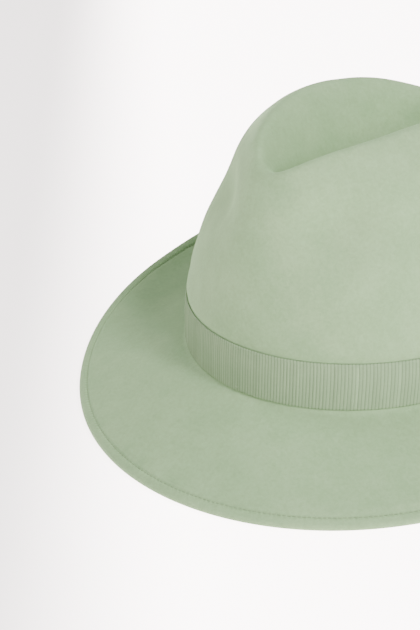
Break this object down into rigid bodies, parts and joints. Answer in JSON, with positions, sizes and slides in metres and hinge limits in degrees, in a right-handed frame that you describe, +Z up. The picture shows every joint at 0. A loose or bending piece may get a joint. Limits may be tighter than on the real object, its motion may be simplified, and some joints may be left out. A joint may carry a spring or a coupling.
{
  "type": "fedora hat",
  "caption": "Pinch-front felt fedora with a snap brim, tonal grosgrain band, side bow, leather sweatband and cloth lining.",
  "frame": {"origin": "on the surface that the hat stands on, under the centre of its bounding box", "axes": "+Z up, +X to the wearer's left, the front of the hat faces -Y; standing on its brim, the hat leans back 5.9 degrees about X"},
  "size_m": [0.3022, 0.3224, 0.1423],
  "materials": {
    "felt": "matte pale sage green wool felt, short soft nap",
    "ribbon": "tonal sage grosgrain ribbon, fine upright ribs and a soft sheen",
    "thread": "tonal sage sewing thread",
    "sweatband_leather": "smooth light tan leather with a fine grain",
    "reed": "cloth-covered reed",
    "lining": "pale satin lining with a soft sheen",
    "tag": "blank woven tag",
    "spring_wire": "plain drawn steel wire"
  },
  "bodies": {
    "root": {"felt_body": "felt", "brim_wire": "spring_wire", "wire_joiner": "spring_wire", "edge_stitching": "thread", "hat_band": "ribbon", "band_tacks": "thread", "bow_tail": "ribbon", "bow_loop": "ribbon", "bow_knot": "ribbon", "bow_tacks": "thread", "sweatband": "sweatband_leather", "sweatband_reed": "reed", "sweatband_stitching": "thread", "rear_seam_bow": "ribbon", "size_tag": "tag", "lining_side": "lining", "lining_tip": "lining"}
  },
  "joints": []
}
